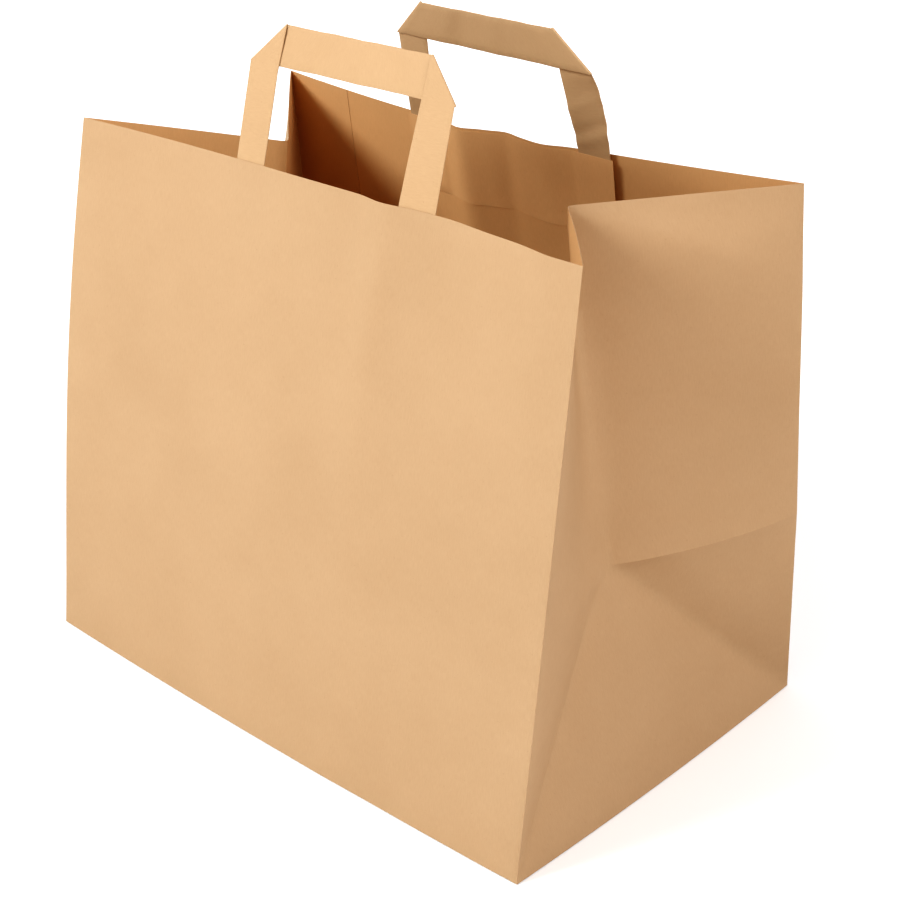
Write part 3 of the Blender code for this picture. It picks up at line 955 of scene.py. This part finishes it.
def buildFloor():
    size = studio["floorSize"] / 2
    corners = [(-size, -size, 0), (size, -size, 0), (size, size, 0), (-size, size, 0)]
    mesh = bpy.data.meshes.new("studioFloor")
    mesh.from_pydata(corners, [], [(0, 1, 2, 3)])
    floor = bpy.data.objects.new("studioFloor", mesh)
    floor.location.z = -studio["floorDrop"]
    bpy.context.scene.collection.objects.link(floor)
    pale = bpy.data.materials.new("paleFloor")
    pale.use_nodes = True
    shader = pale.node_tree.nodes["Principled BSDF"]
    shader.inputs["Base Color"].default_value = studio["floorColour"]
    shader.inputs["Roughness"].default_value = studio["floorRoughness"]
    shader.inputs["Specular IOR Level"].default_value = studio["floorShine"]
    shader.inputs["Emission Color"].default_value = (1.0, 1.0, 1.0, 1.0)
    make, join = nodeMaker(pale)
    place = make("ShaderNodeTexCoord")
    away = make("ShaderNodeVectorMath", operation="LENGTH")
    glow = make("ShaderNodeMapRange")
    glow.inputs["From Min"].default_value = studio["glowFrom"]
    glow.inputs["From Max"].default_value = studio["glowTo"]
    glow.inputs["To Max"].default_value = studio["farGlow"]
    join(place, "Object", away, 0)
    join(away, "Value", glow, "Value")
    join(glow, 0, shader, "Emission Strength")
    mesh.materials.append(pale)


def buildLights():
    for name in ("key", "fill"):
        lamp = bpy.data.lights.new(name + "Softbox", "AREA")
        lamp.shape = "DISK"
        lamp.size = studio[name + "Size"]
        lamp.energy = studio[name + "Power"]
        lamp.color = studio[name + "Colour"]
        box = bpy.data.objects.new(name + "Softbox", lamp)
        way = Vector(studio[name + "Way"]).normalized()
        box.location = Vector(studio["aim"]) - way * studio[name + "Distance"]
        pointAlong(box, way)
        bpy.context.scene.collection.objects.link(box)

    world = bpy.data.worlds.new("studio")
    bpy.context.scene.world = world
    world.use_nodes = True
    make, join = nodeMaker(world)
    way = make("ShaderNodeTexCoord")
    parts = make("ShaderNodeSeparateXYZ")
    ramp = make("ShaderNodeValToRGB")
    ramp.color_ramp.elements[0].color = studio["skyLow"]
    ramp.color_ramp.elements[1].color = studio["skyHigh"]
    join(way, "Generated", parts, 0)
    join(parts, "Z", ramp, "Fac")
    join(ramp, 0, world.node_tree.nodes["Background"], "Color")


# The picture's tone curve: plain, with deeper darks
def setTone():
    view = bpy.context.scene.view_settings
    view.view_transform = "Standard"
    view.use_curve_mapping = True
    curve = view.curve_mapping.curves[3]
    toe = studio["toe"]
    for x in studio["toneAt"]:
        curve.points.new(x, x * (1 + toe) * x / (x + toe))
    view.curve_mapping.update()


def buildCamera():
    lens = bpy.data.cameras.new("photoCamera")
    lens.lens = photoCamera["lens"]
    lens.sensor_width = photoCamera["sensor"]
    camera = bpy.data.objects.new("photoCamera", lens)
    camera.location = photoCamera["at"]
    pointAlong(camera, photoCamera["way"])
    bpy.context.scene.collection.objects.link(camera)
    bpy.context.scene.camera = camera


print("studio and camera")
buildFloor()
buildLights()
buildCamera()
setTone()

print("bag sheet")
bagSheet = buildBag()
# the inner side's copy of the kraft is painted brighter and redder: painted bounce light inside the
# bag
for name, tint in (("brownKraft", kraft["outsideTint"]), ("innerKraftPaintedBounce", kraft["insidePaintedBounceTint"])):
    bagSheet.data.materials.append(kraftMaterial(name, "flatSheet", tint, kraft["through"]))
bagSheet.modifiers["thickness"].material_offset = 1  # the inner side takes innerKraftPaintedBounce, the copy with painted bounce light
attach(bagSheet, "root")
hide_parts("bag_body")

tapeKraft = kraftMaterial("tapeKraft", "flatTape", kraft["tapeTint"])
# the patches take a brighter, redder copy of the kraft: painted bounce light
patchKraftPaintedBounce = kraftMaterial("patchKraftPaintedBounce", "flatPatch", kraft["patchPaintedBounceTint"])
for face, lift in (("front", 0.0), ("back", handle["looseLift"])):
    print(face, "handle and patch")
    tape = buildHandle(face + "Tape", face, lift)
    tape.data.materials.append(tapeKraft)
    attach(tape, "root")
    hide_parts(face + "_handle")
    strip = buildPatch(face + "Patch", face, lift)
    strip.data.materials.append(patchKraftPaintedBounce)
    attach(strip, "root")
    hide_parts(face + "_handle_patch")

print("pieces done")
